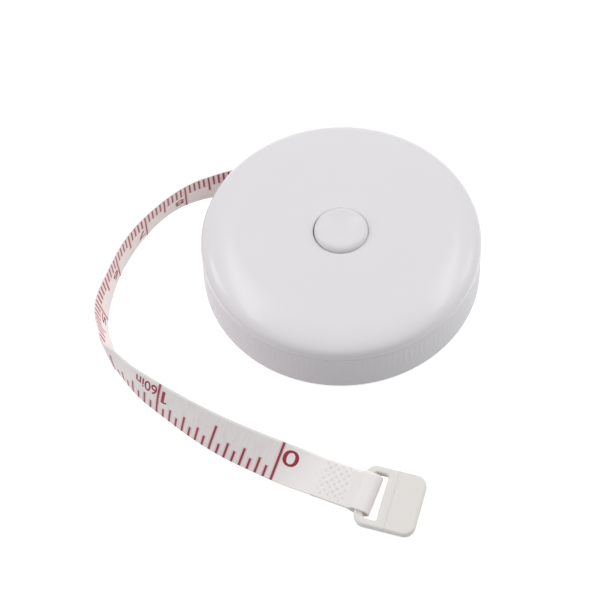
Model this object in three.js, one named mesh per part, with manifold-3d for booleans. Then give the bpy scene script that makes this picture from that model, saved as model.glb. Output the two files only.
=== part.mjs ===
// A round retractable tape measure for sewing: a two-part moulded case, a push button with a
// friction brake, a sprung reel, 1.5 m of coated tape and a loop tab on the tape's end.
// Millimetres, +Z up. The origin lies below the middle of the case, where its feet stand.
import * as THREE from "three";
import { mergeVertices } from "three/addons/utils/BufferGeometryUtils.js";
import Module from "manifold-3d";

const wasm = await Module();
wasm.setup();

// Case
const caseRadius = 26.25;
const wallThickness = 1.5;
const floorThickness = 1.15;
const plateThickness = 1.3;
const plateSag = 0.15; // how far the top plate falls from its middle to its rounded edge
const topEdgeReach = 9;
const topEdgeRise = 3.3;
const topEdgeFullness = 2.3; // 2 is an ellipse; above it the edge stays flat for longer and turns near the wall
const bottomEdgeReach = 4;
const bottomEdgeRise = 2.35;
const footCount = 4;
const footCircle = 17; // radius on which the feet stand
const footRadius = 1.2;
const footHeight = 0.25;
const bandBottom = 5; // height at which the ribbed band starts
const bandMargin = 0.2; // smooth strip between the ribs and the parting line
const ribCount = 146;
const ribDepth = 0.15;
const ribRoot = 0.5; // how deep the ribbed band is rooted in the wall
const seamGap = 0.25; // the dark line between the two mouldings
const skirtStraight = 0.1;
const skirtThickness = 0.6;
const skirtGap = 0.15;
const lipThickness = 0.6;
const lipHeight = 0.9;
const snapDepth = 0.15;
const snapHeight = 0.3;
const holeEdge = 0.15;
const rideRidgeRadius = 6.4; // the raised ring that the reel turns on
const rideRidgeWidth = 0.8;
const rideRidgeHeight = 0.3;

// Tape
const tapeWidth = 7.5;
const tapeThickness = 0.3;
const tapeLength = 1500;
const freeLength = 110; // what lies outside the case
const packWallGap = 3.85; // from the middle of the outermost turn to the wall
const leadGap = 0.3; // between the outermost turn and the straight run to the mouth
const exitHeading = THREE.MathUtils.degToRad(190);
const exitReach = 1.2; // how far the straight run goes on past the wall
const mouthWidth = 2.2;
const mouthHeadroom = 0.15;
const tapeStep = 2.5;

// Reel
const runningGap = 0.1;
const lowerFlangeThickness = 0.65;
const upperFlangeThickness = 0.7;
const flangeOverhang = 1.1; // past the middle of the straight run
const lowerFlangeGap = 0.3; // between the flange and the tape
const upperFlangeGap = 0.4;
const drumWall = 0.9;
const drumTapeGap = 0.28;
const ledgeWidth = 0.3; // what the spring cover rests on
const journalGap = 0.3;
const spigotWall = 0.5;
const spigotDepth = 0.75;
const seatGap = 0.1;

// Mainspring
const springWall = 0.15;
const springTurnGap = 0.45;
const springWidth = 4.1;
const springSideGap = 0.3;
const springWallGap = 0.3;
const springCoverThickness = 0.4;
const hookReach = 0.8; // how deep the spring's ends sit in their slits
const hookEndGap = 0.2;

// Centre post
const postRadius = 3.7;
const postBore = 2.05;
const postRise = 0.3; // above the spring cover
const keyCount = 3;
const keyWidth = 0.8;
const keyReach = 0.45; // how far a key stands out of the stem
const keyGap = 0.22;
const slitWidth = 0.6;

// Button and brake
const buttonRadius = 5;
const buttonRise = 1;
const buttonDish = 0.2;
const buttonRound = 0.9;
const buttonGap = 0.15;
const collarWall = 1.1;
const collarEntry = 0.4; // how far the collar reaches into the reel
const stopOverhang = 0.8;
const stopThickness = 0.7;
const stopGap = 0.25;
const hubRadius = 2.95;
const stemRadius = 1.75;
const stemDepth = 3.3;
const brakeSideGap = 0.2; // between the disc and the reel's spigot
const brakeThickness = 0.65;
const brakeStepGap = 0.2;
const padInset = 0.2;
const padStopGap = 1.3; // between the button's stop flange and the pad
const padWidth = 1.6;
const padProud = 0.3;
const glueGap = 0.05;
const padGap = 0.2; // between the pad and the reel, so that the reel turns clear

// Button spring
const wireThickness = 0.35;
const wireCoilRadius = 1.4;
const wireTurns = 4;

// Tab
const tabLength = 11.4;
const tabWidth = 11.6;
const tabThickness = 1.85;
const tabCorner = 2.1;
const tabRound = 0.5;
const barWidth = 1.8;
const slotWidth = 2.5;
const slotLength = 8.75;
const slotCorner = 0.5;
const gripLineInset = 1.75; // from the slot to the fine line across the grip
const gripLineWidth = 0.25;
const gripLineDepth = 0.12;
const tabHeading = THREE.MathUtils.degToRad(-19.1);
const tabLean = THREE.MathUtils.degToRad(79.4);
const barPlace = new THREE.Vector3(1.52, -49.66, 2.25);

// The tape's sewn-back end
const hemHeading = THREE.MathUtils.degToRad(-25.1);
const hemLength = 9.2; // from the middle of the tab's bar back to the end of the weld
const hemOffset = 0.35; // how far the hem lies from the bar's middle towards the far end of the slot
const weldLength = 6.5;
const weldGap = 0.08;
const loopHalfHeight = 1.3;
const loopStraight = 1; // how far the loop stays open behind the bar
const loopSlack = 0.7; // how far the middle of the fold's round lies past the bar's middle

// The free tape's route from the mouth to its sewn-back end: points on its middle line, in degrees
// how far the tape leans from upright towards the left of its way out, and how far the straight
// lines across it slant back along it, as a share of its width.
const routePoints = [
  [-28, 16, 6.2, 8, 0.7],
  [-36.2, 10.4, 5.4, 7, 0.5],
  [-41.1, 4.3, 4.6, 1, 0.05],
  [-44, -2, 4.1, -3, -0.25],
  [-45.6, -7.6, 3.8, -12, -0.25],
  [-45.4, -12.6, 4, -16, -0.1],
  [-44.8, -15.5, 4.2, -16, 0.05],
  [-44.9, -17.2, 4.2, -11, 0.1],
  [-43.3, -20, 4.4, -2, 0.3],
  [-39.9, -24.3, 4.7, 7, 0.75],
  [-35.3, -28.8, 4.9, 16, 1],
  [-30.1, -33.1, 4.9, 26, 1],
  [-24.7, -36.8, 4.6, 37, 0.8],
  [-18.9, -39.9, 3.9, 45, 0.4],
  [-13.2, -42.5, 3, 56, -0.05],
];

// How finely round things are faceted, and how far a cutting tool runs past what it cuts
const caseSegments = 72;
const innerSegments = 48;
const coilStepsPerTurn = 20;
const springStepsPerTurn = 16;
const wireSteps = 8;
const wireSides = 5;
const edgeSteps = 6;
const topEdgeSteps = 8;
const footSides = 12;
const cornerSteps = 4;
const bevelSteps = 2;
const overrun = 1;

// Heights, from the floor up
const floorTop = footHeight + floorThickness;
const reelBottom = floorTop + rideRidgeHeight + runningGap;
const lowerFlangeTop = reelBottom + lowerFlangeThickness;
const tapeBottom = lowerFlangeTop + lowerFlangeGap;
const tapeMiddle = tapeBottom + tapeWidth / 2;
const tapeTop = tapeBottom + tapeWidth;
const upperFlangeBottom = tapeTop + upperFlangeGap;
const upperFlangeTop = upperFlangeBottom + upperFlangeThickness;
const partingHeight = tapeTop + mouthHeadroom;
const coverBottom = partingHeight + seamGap;
const springBottom = lowerFlangeTop + springSideGap;
const springCoverBottom = springBottom + springWidth + springSideGap;
const springCoverTop = springCoverBottom + springCoverThickness;
const postTop = springCoverTop + postRise;
const coverCornerFoot = coverBottom + skirtStraight;
const caseHeight = coverCornerFoot + topEdgeRise + plateSag;
const collarBottom = upperFlangeTop - collarEntry;
const stopTop = collarBottom - stopGap;
const stopBottom = stopTop - stopThickness;
const padTop = upperFlangeBottom - padGap;
const brakeTop = padTop - padProud;
const brakeStepTop = stopBottom - seatGap;
const brakeBottom = brakeStepTop - brakeThickness;
const stemBottom = brakeBottom - stemDepth;
const buttonTop = caseHeight + buttonRise;

// Radii and lengths, from the middle out
const innerRadius = caseRadius - wallThickness;
const packRadius = innerRadius - packWallGap; // middle of the outermost turn
const leadOffset = packRadius + tapeThickness + leadGap;
const leadLength = Math.sqrt(caseRadius ** 2 - leadOffset ** 2);
const leadAngle = exitHeading - Math.PI / 2;
const flangeRadius = leadOffset + flangeOverhang;
const coilLength = tapeLength - freeLength - leadLength;
const holeRadius = buttonRadius + buttonGap;
const collarRadius = holeRadius + collarWall;
const reelHole = collarRadius + journalGap;
const stopRadius = buttonRadius + stopOverhang;
const padInner = stopRadius + padStopGap;
const padOuter = padInner + padWidth;
const brakeRadius = padOuter + padInset;
const spigotRadius = brakeRadius + brakeSideGap + spigotWall;
const drumBore = spigotRadius + seatGap;
const drumRadius = drumBore + drumWall;
const coilInner = drumRadius + drumTapeGap + tapeThickness / 2;
const coilPitch = (Math.PI * (packRadius ** 2 - coilInner ** 2)) / coilLength;
const coilTurns = (packRadius - coilInner) / coilPitch;
const springBarrel = drumBore - ledgeWidth;
const springFrom = postRadius + springTurnGap;
const springTo = springBarrel - springWallGap;
const springTurns = (springTo - springFrom) / (springWall + springTurnGap);
const springStartAngle = Math.PI / keyCount;
const springEndAngle = springStartAngle + springTurns * 2 * Math.PI;
const journalRadius = postRadius + journalGap;

const upright = new THREE.Vector3(0, 0, 1);

// Takes a closed geometry to a solid that can be cut and joined.
function solidOf(geometry) {
  const bare = geometry.clone();
  bare.deleteAttribute("normal");
  bare.deleteAttribute("uv");
  const merged = mergeVertices(bare);
  return new wasm.Manifold(
    new wasm.Mesh({
      numProp: 3,
      vertProperties: merged.attributes.position.array,
      triVerts: new Uint32Array(merged.index.array),
    }),
  );
}

function geometryOf(solid) {
  const mesh = solid.getMesh();
  const geometry = new THREE.BufferGeometry();
  geometry.setAttribute("position", new THREE.BufferAttribute(mesh.vertProperties, 3));
  return geometry.setIndex(new THREE.BufferAttribute(mesh.triVerts, 1));
}

const joined = (first, ...others) =>
  geometryOf(others.reduce((all, next) => all.add(solidOf(next)), solidOf(first)));

const cutBy = (first, ...tools) =>
  geometryOf(tools.reduce((left, tool) => left.subtract(solidOf(tool)), solidOf(first)));

// Turns a profile of [radius, height] points about the Z axis.
function turned(profile, segments) {
  const points = profile.map(([radius, height]) => new THREE.Vector2(radius, height));
  if (THREE.ShapeUtils.isClockWise(points)) points.reverse();
  return new THREE.LatheGeometry([...points, points[0]], segments).rotateX(Math.PI / 2);
}

// Part of an ellipse as profile points, between two angles.
function arcPoints(middleRadius, middleHeight, reach, rise, from, to, steps = edgeSteps) {
  return Array.from({ length: steps + 1 }, (_, i) => {
    const angle = THREE.MathUtils.lerp(from, to, i / steps);
    return [middleRadius + reach * Math.cos(angle), middleHeight + rise * Math.sin(angle)];
  });
}

function circlePoints(count, radiusOf) {
  return Array.from({ length: count }, (_, i) => {
    const angle = (i / count) * 2 * Math.PI;
    return new THREE.Vector2(Math.cos(angle), Math.sin(angle)).multiplyScalar(radiusOf(i));
  });
}

const extruded = (shape, bottom, top) =>
  new THREE.ExtrudeGeometry(shape, { depth: top - bottom, bevelEnabled: false }).translate(0, 0, bottom);

// Joins equal outlines, one after the other, into one closed body with flat ends.
function skinned(outlines) {
  const sides = outlines[0].length;
  const index = [];
  for (let i = 0; i + 1 < outlines.length; i++) {
    for (let j = 0; j < sides; j++) {
      const here = i * sides + j;
      const beside = i * sides + ((j + 1) % sides);
      index.push(here, beside, beside + sides, here, beside + sides, here + sides);
    }
  }
  const last = (outlines.length - 1) * sides;
  for (let j = 1; j + 1 < sides; j++) {
    index.push(0, j + 1, j, last, last + j, last + j + 1);
  }
  return new THREE.BufferGeometry().setFromPoints(outlines.flat()).setIndex(index);
}

// The four corners of a strip at each station of its middle line, with a mitre at each turn.
function stripOutlines(stations, thickness, width) {
  const wayTo = (from, to) => to.point.clone().sub(from.point).normalize();
  return stations.map((station, i) => {
    const before = i > 0 ? wayTo(stations[i - 1], station) : wayTo(station, stations[i + 1]);
    const after = i + 1 < stations.length ? wayTo(station, stations[i + 1]) : before;
    const along = before.clone().add(after).normalize();
    const out = along.clone().cross(station.across).normalize();
    out.multiplyScalar(thickness / 2 / along.dot(after));
    const side = station.across.clone().multiplyScalar(width / 2);
    const corner = (u, v) => station.point.clone().addScaledVector(side, u).addScaledVector(out, v);
    return [corner(-1, -1), corner(1, -1), corner(1, 1), corner(-1, 1)];
  });
}

// Stations of an upright strip that winds out about the Z axis.
function spiralStations({ from, to, startAngle, turns, height, stepsPerTurn }) {
  const steps = Math.ceil(turns * stepsPerTurn);
  return Array.from({ length: steps + 1 }, (_, i) => {
    const angle = startAngle + (i / steps) * turns * 2 * Math.PI;
    return uprightStation(angle, THREE.MathUtils.lerp(from, to, i / steps), height);
  });
}

const uprightStation = (angle, radius, height) => ({
  point: new THREE.Vector3(radius * Math.cos(angle), radius * Math.sin(angle), height),
  across: upright,
});

// The least distance between points of a winding that lie half a turn or more apart along it.
function printLeastSelfGap(name, outlines, stepsPerTurn) {
  let least = Infinity;
  outlines.forEach((outline, i) => {
    for (let k = i + Math.round(stepsPerTurn / 2); k < outlines.length; k++) {
      for (const a of outline) {
        for (const b of outlines[k]) least = Math.min(least, a.distanceTo(b));
      }
    }
  });
  console.log(`${name}: least gap to itself ${least.toFixed(2)} mm`);
}

// The cover's rounded edge as profile points: an ellipse made fuller by its power.
function topEdgePoints(reach, rise, from, to, steps) {
  const power = 2 / topEdgeFullness;
  return Array.from({ length: steps + 1 }, (_, i) => {
    const angle = THREE.MathUtils.lerp(from, to, i / steps);
    return [
      caseRadius - topEdgeReach + reach * Math.abs(Math.cos(angle)) ** power,
      coverCornerFoot + rise * Math.sin(angle) ** power,
    ];
  });
}

// Lower moulding: floor, feet, ribbed wall, register lip, tape mouth and keyed centre post.
function lowerCase() {
  const cornerMiddle = caseRadius - bottomEdgeReach;
  const cornerTop = footHeight + bottomEdgeRise;
  const lipOuter = innerRadius + lipThickness;
  const lipTop = partingHeight + lipHeight;
  const body = turned(
    [
      [0, footHeight],
      ...arcPoints(cornerMiddle, cornerTop, bottomEdgeReach, bottomEdgeRise, -Math.PI / 2, 0),
      [caseRadius, bandBottom],
      [caseRadius - ribDepth, bandBottom],
      [caseRadius - ribDepth, partingHeight - bandMargin],
      [caseRadius, partingHeight - bandMargin],
      [caseRadius, partingHeight],
      [lipOuter, partingHeight],
      [lipOuter, lipTop - snapHeight],
      [lipOuter + snapDepth, lipTop - snapHeight / 2],
      [lipOuter, lipTop],
      [innerRadius, lipTop],
      ...arcPoints(
        cornerMiddle, cornerTop, bottomEdgeReach - wallThickness, bottomEdgeRise - floorThickness,
        0, -Math.PI / 2, cornerSteps,
      ),
      [rideRidgeRadius + rideRidgeWidth / 2, floorTop],
      [rideRidgeRadius + rideRidgeWidth / 2, floorTop + rideRidgeHeight],
      [rideRidgeRadius - rideRidgeWidth / 2, floorTop + rideRidgeHeight],
      [rideRidgeRadius - rideRidgeWidth / 2, floorTop],
      [postRadius, floorTop],
      [postRadius, postTop],
      [0, postTop],
    ],
    caseSegments,
  );
  const feet = Array.from({ length: footCount }, (_, i) => foot(i));
  return cutBy(joined(body, ribbedBand(), ...feet), postHollow(), springSlit(), mouthCut());
}

// One of the low feet on which the case stands, rooted halfway into the floor.
function foot(i) {
  const angle = ((i + 1 / 2) / footCount) * 2 * Math.PI;
  const outline = new THREE.Shape(circlePoints(footSides, () => footRadius));
  return extruded(outline, 0, footHeight + floorThickness / 2).translate(
    footCircle * Math.cos(angle), footCircle * Math.sin(angle), 0,
  );
}

// The ribs: crests level with the wall, and a root sunk into it.
function ribbedBand() {
  const crestOrValley = (i) => (i % 2 ? caseRadius - ribDepth : caseRadius);
  const outline = new THREE.Shape(circlePoints(2 * ribCount, crestOrValley));
  outline.holes.push(new THREE.Path(circlePoints(caseSegments, () => caseRadius - ribDepth - ribRoot)));
  return extruded(outline, bandBottom, partingHeight - bandMargin);
}

// A round with keys standing out of it, seen from above.
function keyedShape(radius, reach, width) {
  const rootTurn = Math.asin(width / 2 / radius);
  const tipTurn = Math.asin(width / 2 / (radius + reach));
  const points = [];
  const place = (angle, distance) =>
    points.push(new THREE.Vector2(distance * Math.cos(angle), distance * Math.sin(angle)));
  for (let k = 0; k < keyCount; k++) {
    const key = (k / keyCount) * 2 * Math.PI;
    const nextKey = ((k + 1) / keyCount) * 2 * Math.PI;
    place(key - tipTurn, radius + reach);
    place(key + tipTurn, radius + reach);
    for (let i = 0; i <= cornerSteps; i++) {
      place(THREE.MathUtils.lerp(key + rootTurn, nextKey - rootTurn, i / cornerSteps), radius);
    }
  }
  return new THREE.Shape(points);
}

function postHollow() {
  const keyway = stemRadius + keyReach + keyGap - postBore;
  return extruded(keyedShape(postBore, keyway, keyWidth + 2 * keyGap), floorTop, postTop + overrun);
}

// A slit that holds one end of the mainspring, open at the top.
function slit(from, to, top, angle) {
  const height = top + overrun - lowerFlangeTop;
  const geometry = new THREE.BoxGeometry(to - from, slitWidth, height);
  geometry.translate((from + to) / 2, 0, lowerFlangeTop + height / 2);
  return geometry.rotateZ(angle);
}

const springSlit = () => slit(0, postRadius + overrun, postTop, springStartAngle);

// The mouth: a slot through the wall in line with the straight run, open at the parting line.
function mouthCut() {
  const height = partingHeight + lipHeight + overrun - lowerFlangeTop;
  const slot = new THREE.BoxGeometry(caseRadius, mouthWidth, height);
  slot.translate(caseRadius / 2, 0, lowerFlangeTop + height / 2);
  const foot = leadFoot();
  return slot.rotateZ(exitHeading).translate(foot.x, foot.y, 0);
}

// Where the straight run starts, beside the outermost turn.
const leadFoot = () => uprightStation(leadAngle, leadOffset, tapeMiddle).point;

// Upper moulding: skirt, rounded edge, gently domed plate and the button's collar.
function upperCover() {
  const cornerMiddle = caseRadius - topEdgeReach;
  const innerReach = topEdgeReach - wallThickness;
  const innerRise = topEdgeRise - plateThickness;
  const ledge = partingHeight + lipHeight + skirtGap;
  const ledgeAngle = Math.asin(((ledge - coverCornerFoot) / innerRise) ** (topEdgeFullness / 2));
  const plateStart = holeRadius + holeEdge;
  const plate = Array.from({ length: cornerSteps }, (_, i) => {
    const share = 1 - (i + 1) / cornerSteps;
    const radius = THREE.MathUtils.lerp(plateStart, cornerMiddle, share);
    return [radius, caseHeight - plateSag * share ** 2];
  });
  return turned(
    [
      [caseRadius - skirtThickness, coverBottom],
      [caseRadius, coverBottom],
      ...topEdgePoints(topEdgeReach, topEdgeRise, 0, Math.PI / 2, topEdgeSteps),
      ...plate,
      [holeRadius, caseHeight - holeEdge],
      [holeRadius, collarBottom],
      [collarRadius, collarBottom],
      [collarRadius, caseHeight - plateThickness],
      ...topEdgePoints(innerReach, innerRise, Math.PI / 2, ledgeAngle, cornerSteps),
      [caseRadius - skirtThickness, ledge],
    ],
    caseSegments,
  );
}

// The button: a dished cap, a stop flange that keeps it in, and a keyed stem in the post.
function releaseButton() {
  const dishRadius = buttonRadius - buttonRound;
  const dish = Array.from({ length: cornerSteps }, (_, i) => {
    const share = 1 - (i + 1) / cornerSteps;
    return [dishRadius * share, buttonTop - buttonDish * (1 - share ** 2)];
  });
  const cap = turned(
    [
      [0, brakeBottom],
      [hubRadius, brakeBottom],
      [hubRadius, stopBottom],
      [stopRadius, stopBottom],
      [stopRadius, stopTop],
      [buttonRadius, stopTop],
      ...arcPoints(dishRadius, buttonTop - buttonRound, buttonRound, buttonRound, 0, Math.PI / 2, cornerSteps),
      ...dish,
    ],
    innerSegments,
  );
  return joined(cap, extruded(keyedShape(stemRadius, keyReach, keyWidth), stemBottom, stopBottom));
}

function brakeDisc() {
  const stepRadius = stopRadius + brakeStepGap;
  return turned(
    [
      [hubRadius + seatGap, brakeBottom],
      [brakeRadius, brakeBottom],
      [brakeRadius, brakeTop],
      [stepRadius, brakeTop],
      [stepRadius, brakeStepTop],
      [hubRadius + seatGap, brakeStepTop],
    ],
    innerSegments,
  );
}

const brakePad = () =>
  turned(
    [
      [padInner, brakeTop + glueGap],
      [padOuter, brakeTop + glueGap],
      [padOuter, padTop],
      [padInner, padTop],
    ],
    innerSegments,
  );

function buttonSpring() {
  const bottom = floorTop + seatGap + wireThickness / 2;
  const top = stemBottom - seatGap - wireThickness / 2;
  const steps = wireTurns * wireSteps;
  const rise = (top - bottom) / (wireTurns * 2 * Math.PI);
  const outlines = Array.from({ length: steps + 1 }, (_, i) => {
    const angle = (i / wireSteps) * 2 * Math.PI;
    const out = new THREE.Vector3(Math.cos(angle), Math.sin(angle), 0);
    const along = new THREE.Vector3(-wireCoilRadius * out.y, wireCoilRadius * out.x, rise).normalize();
    const over = along.clone().cross(out);
    const middle = out.clone().multiplyScalar(wireCoilRadius).setZ(bottom + rise * angle);
    return Array.from({ length: wireSides }, (_, j) => {
      const turn = (j / wireSides) * 2 * Math.PI;
      return middle
        .clone()
        .addScaledVector(out, (wireThickness / 2) * Math.cos(turn))
        .addScaledVector(over, (wireThickness / 2) * Math.sin(turn));
    });
  });
  printLeastSelfGap("button spring", outlines, wireSteps);
  return skinned(outlines);
}

// The reel's lower flange and barrel, with a slit for the mainspring's outer end.
function reelDrum() {
  const ledge = springCoverBottom - seatGap;
  const drum = turned(
    [
      [journalRadius, reelBottom],
      [flangeRadius, reelBottom],
      [flangeRadius, lowerFlangeTop],
      [drumRadius, lowerFlangeTop],
      [drumRadius, upperFlangeBottom - seatGap],
      [drumBore, upperFlangeBottom - seatGap],
      [drumBore, ledge],
      [springBarrel, ledge],
      [springBarrel, lowerFlangeTop],
      [journalRadius, lowerFlangeTop],
    ],
    innerSegments,
  );
  return cutBy(drum, slit(springTo, springBarrel + hookReach, upperFlangeBottom, springEndAngle));
}

// The reel's upper flange, whose spigot is pressed into the barrel.
const reelUpperFlange = () =>
  turned(
    [
      [reelHole, upperFlangeBottom],
      [spigotRadius - spigotWall, upperFlangeBottom],
      [spigotRadius - spigotWall, upperFlangeBottom - spigotDepth],
      [spigotRadius, upperFlangeBottom - spigotDepth],
      [spigotRadius, upperFlangeBottom],
      [flangeRadius, upperFlangeBottom],
      [flangeRadius, upperFlangeTop],
      [reelHole, upperFlangeTop],
    ],
    innerSegments,
  );

function mainspring() {
  const height = springBottom + springWidth / 2;
  const stations = [
    uprightStation(springStartAngle, postRadius - hookReach, height),
    ...spiralStations({
      from: springFrom, to: springTo, startAngle: springStartAngle, turns: springTurns,
      height, stepsPerTurn: springStepsPerTurn,
    }),
    uprightStation(springEndAngle, springBarrel + hookReach - hookEndGap, height),
  ];
  const outlines = stripOutlines(stations, springWall, springWidth);
  printLeastSelfGap("mainspring", outlines, springStepsPerTurn);
  return skinned(outlines);
}

const mainspringCover = () =>
  turned(
    [
      [journalRadius, springCoverBottom],
      [drumBore - seatGap, springCoverBottom],
      [drumBore - seatGap, springCoverTop],
      [journalRadius, springCoverTop],
    ],
    innerSegments,
  );

function tapeCoil() {
  const stations = spiralStations({
    from: coilInner, to: packRadius, startAngle: leadAngle - coilTurns * 2 * Math.PI, turns: coilTurns,
    height: tapeMiddle, stepsPerTurn: coilStepsPerTurn,
  });
  const outlines = stripOutlines(stations, tapeThickness, tapeWidth);
  printLeastSelfGap("tape coil", outlines, coilStepsPerTurn);
  return skinned(outlines);
}

// From the tape's middle line towards its upper edge, for a way along, a lean from upright towards
// its left and a slant back along the tape.
function acrossOf(along, lean, slant = 0) {
  const left = upright.clone().cross(along).normalize();
  const up = along.clone().cross(left).normalize();
  const square = up.multiplyScalar(Math.cos(lean)).addScaledVector(left, Math.sin(lean));
  return square.addScaledVector(along, -slant);
}

const wayAt = (heading) => new THREE.Vector3(Math.cos(heading), Math.sin(heading), 0);

// Places in the plane that stands across the sewn-back end: along the tape and out of its face.
function hemPlane() {
  const along = wayAt(hemHeading);
  const across = acrossOf(along, tabLean);
  const out = along.clone().cross(across);
  const middle = barPlace.clone().addScaledVector(across, hemOffset);
  return (way, rise) => ({
    point: middle.clone().addScaledVector(along, way).addScaledVector(out, rise),
    across,
  });
}

// The free tape: straight run behind the mouth, the route, and the end looped round the bar.
function freeTapeStations() {
  const foot = leadFoot();
  const hemAt = hemPlane();
  const weldRise = (tapeThickness + weldGap) / 2;
  const weldStart = weldLength - hemLength;
  const onLead = (length) => foot.clone().addScaledVector(wayAt(exitHeading), length);
  const knots = [
    { point: foot, lean: 0, slant: 0 },
    { point: onLead(leadLength), lean: 0, slant: 0 },
    { point: onLead(leadLength + exitReach), lean: 0, slant: 0 },
    ...routePoints.map(([x, y, z, lean, slant]) => ({
      point: new THREE.Vector3(x, y, z),
      lean: THREE.MathUtils.degToRad(lean),
      slant,
    })),
    { point: hemAt(-hemLength, weldRise).point, lean: tabLean, slant: 0 },
    { point: hemAt(weldStart, weldRise).point, lean: tabLean, slant: 0 },
  ];
  const curve = new THREE.CatmullRomCurve3(knots.map(({ point }) => point));
  const stations = [];
  for (let i = 0; i + 2 < knots.length; i++) {
    const steps = i ? Math.ceil(knots[i].point.distanceTo(knots[i + 1].point) / tapeStep) : 1;
    for (let k = 0; k < steps; k++) {
      const place = (i + k / steps) / (knots.length - 1);
      const between = (value) => THREE.MathUtils.lerp(knots[i][value], knots[i + 1][value], k / steps);
      const across = acrossOf(curve.getTangent(place), between("lean"), between("slant"));
      stations.push({ point: curve.getPoint(place), across });
    }
  }
  const upperLayer = [[-hemLength, weldRise]];
  for (let i = 0; i <= edgeSteps; i++) {
    const way = THREE.MathUtils.lerp(weldStart, -loopStraight, i / edgeSteps);
    upperLayer.push([way, THREE.MathUtils.lerp(weldRise, loopHalfHeight, (1 - Math.cos((i / edgeSteps) * Math.PI)) / 2)]);
  }
  const round = arcPoints(loopSlack, 0, loopHalfHeight, loopHalfHeight, Math.PI / 2, -Math.PI / 2, 2 * cornerSteps);
  const lowerLayer = upperLayer.map(([way, rise]) => [way, -rise]).reverse();
  return [...stations, ...[...upperLayer, ...round, ...lowerLayer].map(([way, rise]) => hemAt(way, rise))];
}

const tapeFree = () => skinned(stripOutlines(freeTapeStations(), tapeThickness, tapeWidth));

// A rectangle with rounded corners, drawn about its middle.
function roundedRectangle(Outline, left, right, width, corner) {
  const outline = new Outline();
  const half = width / 2;
  outline.absarc(right - corner, half - corner, corner, 0, Math.PI / 2);
  outline.absarc(left + corner, half - corner, corner, Math.PI / 2, Math.PI);
  outline.absarc(left + corner, corner - half, corner, Math.PI, 1.5 * Math.PI);
  outline.absarc(right - corner, corner - half, corner, 1.5 * Math.PI, 2 * Math.PI);
  return outline;
}

// The loop tab, drawn about the middle of its bar.
function endTab() {
  const left = -barWidth / 2;
  const outline = roundedRectangle(THREE.Shape, left, left + tabLength, tabWidth, tabCorner);
  outline.holes.push(roundedRectangle(THREE.Path, -left, slotWidth - left, slotLength, slotCorner));
  const plate = new THREE.ExtrudeGeometry(outline, {
    depth: tabThickness - 2 * tabRound,
    bevelThickness: tabRound,
    bevelSize: tabRound,
    bevelOffset: -tabRound,
    bevelSegments: bevelSteps,
    curveSegments: cornerSteps,
  }).translate(0, 0, tabRound - tabThickness / 2);
  const gripLine = new THREE.BoxGeometry(gripLineWidth, tabWidth + overrun, gripLineDepth + overrun);
  gripLine.translate(slotWidth - left + gripLineInset, 0, (tabThickness + overrun - gripLineDepth) / 2);
  return cutBy(plate, gripLine);
}

const plastic = (color, roughness) => new THREE.MeshStandardMaterial({ color, roughness, metalness: 0 });
const casePlastic = plastic(0xdedce0, 0.35);
const tabPlastic = plastic(0xe1ddda, 0.4);
const reelPlastic = plastic(0xc9ccd0, 0.5);
const tapeCoating = plastic(0xe6dedc, 0.55);
const rubber = plastic(0x303236, 0.9);
const springSteel = new THREE.MeshStandardMaterial({ color: 0x9a9da2, roughness: 0.35, metalness: 1 });

const group = new THREE.Group();
function add(name, geometry, material) {
  const mesh = new THREE.Mesh(geometry, material);
  mesh.name = name;
  group.add(mesh);
  return mesh;
}

add("upper_cover", upperCover(), casePlastic);
add("lower_case", lowerCase(), casePlastic);
add("release_button", releaseButton(), casePlastic);
add("brake_disc", brakeDisc(), reelPlastic);
add("brake_pad", brakePad(), rubber);
add("button_spring", buttonSpring(), springSteel);
add("reel_drum", reelDrum(), reelPlastic);
add("reel_upper_flange", reelUpperFlange(), reelPlastic);
add("mainspring", mainspring(), springSteel);
add("mainspring_cover", mainspringCover(), reelPlastic);
add("tape_coil", tapeCoil(), tapeCoating);
add("tape_free", tapeFree(), tapeCoating);

const tabAlong = wayAt(tabHeading);
const tabAcross = acrossOf(tabAlong, tabLean);
const tab = add("end_tab", endTab(), tabPlastic);
tab.quaternion.setFromRotationMatrix(
  new THREE.Matrix4().makeBasis(tabAlong, tabAcross, tabAlong.clone().cross(tabAcross)),
);
tab.position.copy(barPlace);

export default group;
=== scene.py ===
# A round retractable tape measure: its moulded case, its button and tab, and the printed tape.
import math
import bmesh
import bpy
import numpy as np
from mathutils import Matrix, Vector


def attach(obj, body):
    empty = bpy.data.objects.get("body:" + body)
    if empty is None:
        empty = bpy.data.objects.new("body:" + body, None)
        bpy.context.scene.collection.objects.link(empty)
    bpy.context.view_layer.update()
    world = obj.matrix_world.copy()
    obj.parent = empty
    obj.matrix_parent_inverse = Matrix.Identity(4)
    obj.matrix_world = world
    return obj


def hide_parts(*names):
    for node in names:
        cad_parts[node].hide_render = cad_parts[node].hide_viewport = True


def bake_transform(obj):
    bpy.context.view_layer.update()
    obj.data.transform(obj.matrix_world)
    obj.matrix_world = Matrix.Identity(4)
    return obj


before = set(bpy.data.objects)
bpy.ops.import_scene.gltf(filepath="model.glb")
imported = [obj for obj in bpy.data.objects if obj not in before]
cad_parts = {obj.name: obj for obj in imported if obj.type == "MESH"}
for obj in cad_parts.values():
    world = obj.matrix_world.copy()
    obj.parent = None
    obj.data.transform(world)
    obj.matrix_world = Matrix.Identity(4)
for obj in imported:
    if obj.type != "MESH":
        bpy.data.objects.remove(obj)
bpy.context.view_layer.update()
mm = 0.001

# camera, at the photograph's angle; aside and above place the case in the picture
cameraView = {
    "elevation": 56.52, "roll": -2.884, "distance": 444.74, "aside": 7.535, "above": 5.616, "lens": 138.07,
    "sensor": 36, "near": 0.01,
}


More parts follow.
